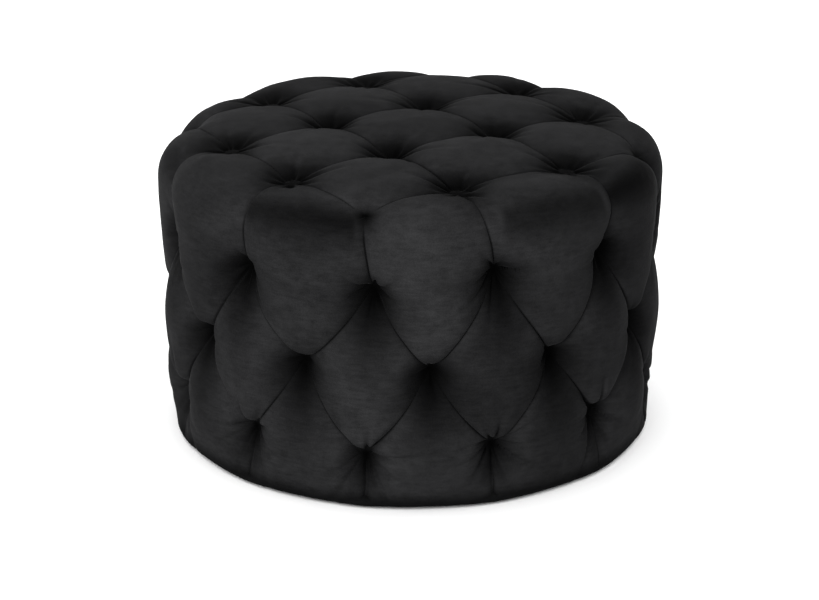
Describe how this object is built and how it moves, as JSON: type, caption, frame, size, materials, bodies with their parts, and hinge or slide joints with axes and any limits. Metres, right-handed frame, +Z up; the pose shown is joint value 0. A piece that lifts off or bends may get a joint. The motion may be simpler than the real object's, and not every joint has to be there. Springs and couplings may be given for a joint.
{
  "type": "round tufted pouffe",
  "caption": "Round drum-shaped pouffe, deep-buttoned all over in black velvet on a plywood frame, standing flat on low glides.",
  "frame": {"origin": "on the floor, under the middle of the pouffe", "axes": "+Z up along the drum's axis; -Y faces the front, where a column of tufts of the upper and lower rows stands"},
  "size_m": [0.66, 0.66, 0.406],
  "materials": {
    "velvet": "matte",
    "nonwoven": "matte",
    "foam": "matte",
    "wadding": "matte",
    "plywood": "matte",
    "pine": "matte",
    "hardboard": "matte",
    "twine": "matte",
    "steel": "satin",
    "glide": "matte"
  },
  "bodies": {
    "root": {"top_board": "plywood", "middle_ring": "plywood", "base_ring": "plywood", "post_1": "pine", "post_2": "pine", "post_3": "pine", "post_4": "pine", "post_5": "pine", "post_6": "pine", "post_7": "pine", "post_8": "pine", "side_wall_left": "hardboard", "side_wall_right": "hardboard", "top_foam": "foam", "side_foam": "foam", "wadding": "wadding", "cover": "velvet", "top_ties": "twine", "upper_ties": "twine", "middle_ties": "twine", "lower_ties": "twine", "top_washers": "steel", "side_washers": "steel", "top_screws": "steel", "ring_screws": "steel", "base_screws": "steel", "wall_staples": "steel", "cover_staples": "steel", "dust_cover": "nonwoven", "dust_staples": "steel", "glide_1": "glide", "glide_2": "glide", "glide_3": "glide", "glide_4": "glide", "glide_5": "glide", "glide_6": "glide", "glide_screws": "steel"}
  },
  "joints": []
}
